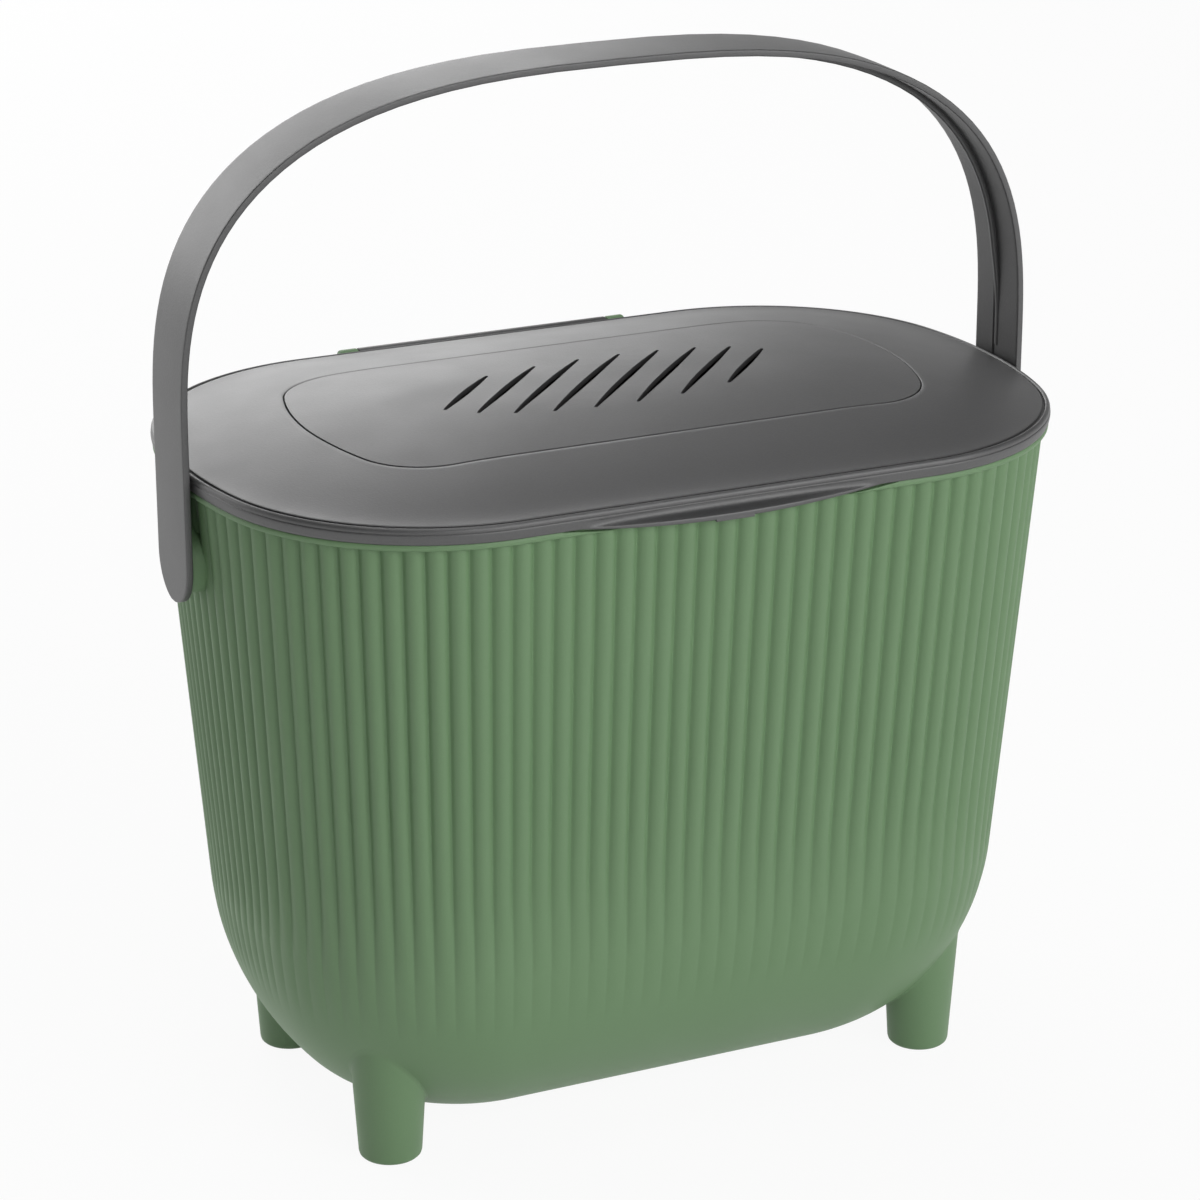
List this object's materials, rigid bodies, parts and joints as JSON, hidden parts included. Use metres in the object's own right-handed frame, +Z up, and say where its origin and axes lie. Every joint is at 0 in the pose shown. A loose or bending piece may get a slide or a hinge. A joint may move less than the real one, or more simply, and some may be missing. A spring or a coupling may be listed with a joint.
{
  "type": "kitchen compost caddy",
  "caption": "Ribbed green kitchen compost caddy on small feet, with a grey hinged lid, a vented carbon filter and a swinging strap handle",
  "frame": {"origin": "On the floor under the middle of the whole object's box", "axes": "+X to the right along the length, +Y from the front to the hinge at the back, +Z up"},
  "size_m": [0.3072, 0.2048, 0.3558],
  "materials": {
    "green_plastic": "matte",
    "grey_plastic": "matte",
    "steel": "satin",
    "carbon_felt": "matte"
  },
  "bodies": {
    "bucket": {"bucket": "green_plastic", "hinge_pin": "steel"},
    "lid": {"lid": "grey_plastic", "filter_pad": "carbon_felt"},
    "filter_cover": {"filter_cover": "grey_plastic"},
    "handle_studs": {"pivot_stud_left": "grey_plastic", "pivot_stud_right": "grey_plastic"},
    "handle": {"handle": "grey_plastic", "handle_end_left": "grey_plastic", "handle_end_right": "grey_plastic"}
  },
  "joints": [
    {"name": "lid_hinge", "type": "hinge", "parent": "bucket", "child": "lid", "pos_m": [0, 0.09855, 0.2296], "axis": [-1, 0, 0], "range_deg": [0, 100]},
    {"name": "handle_yield", "type": "hinge", "parent": "bucket", "child": "handle_studs", "pos_m": [0, -0.00365, 0.2032], "axis": [-1, 0, 0], "range_deg": [-130, 0]},
    {"name": "handle_swing", "type": "hinge", "parent": "handle_studs", "child": "handle", "pos_m": [0, -0.00365, 0.2032], "axis": [-1, 0, 0], "range_deg": [-5, 135]},
    {"name": "cover_lift", "type": "slide", "parent": "lid", "child": "filter_cover", "axis": [0, 0, 1], "range_m": [0, 0.04]}
  ],
  "couplings": [
    {"joint": "handle_yield", "follows": "lid_hinge", "ratio": -1.3}
  ]
}
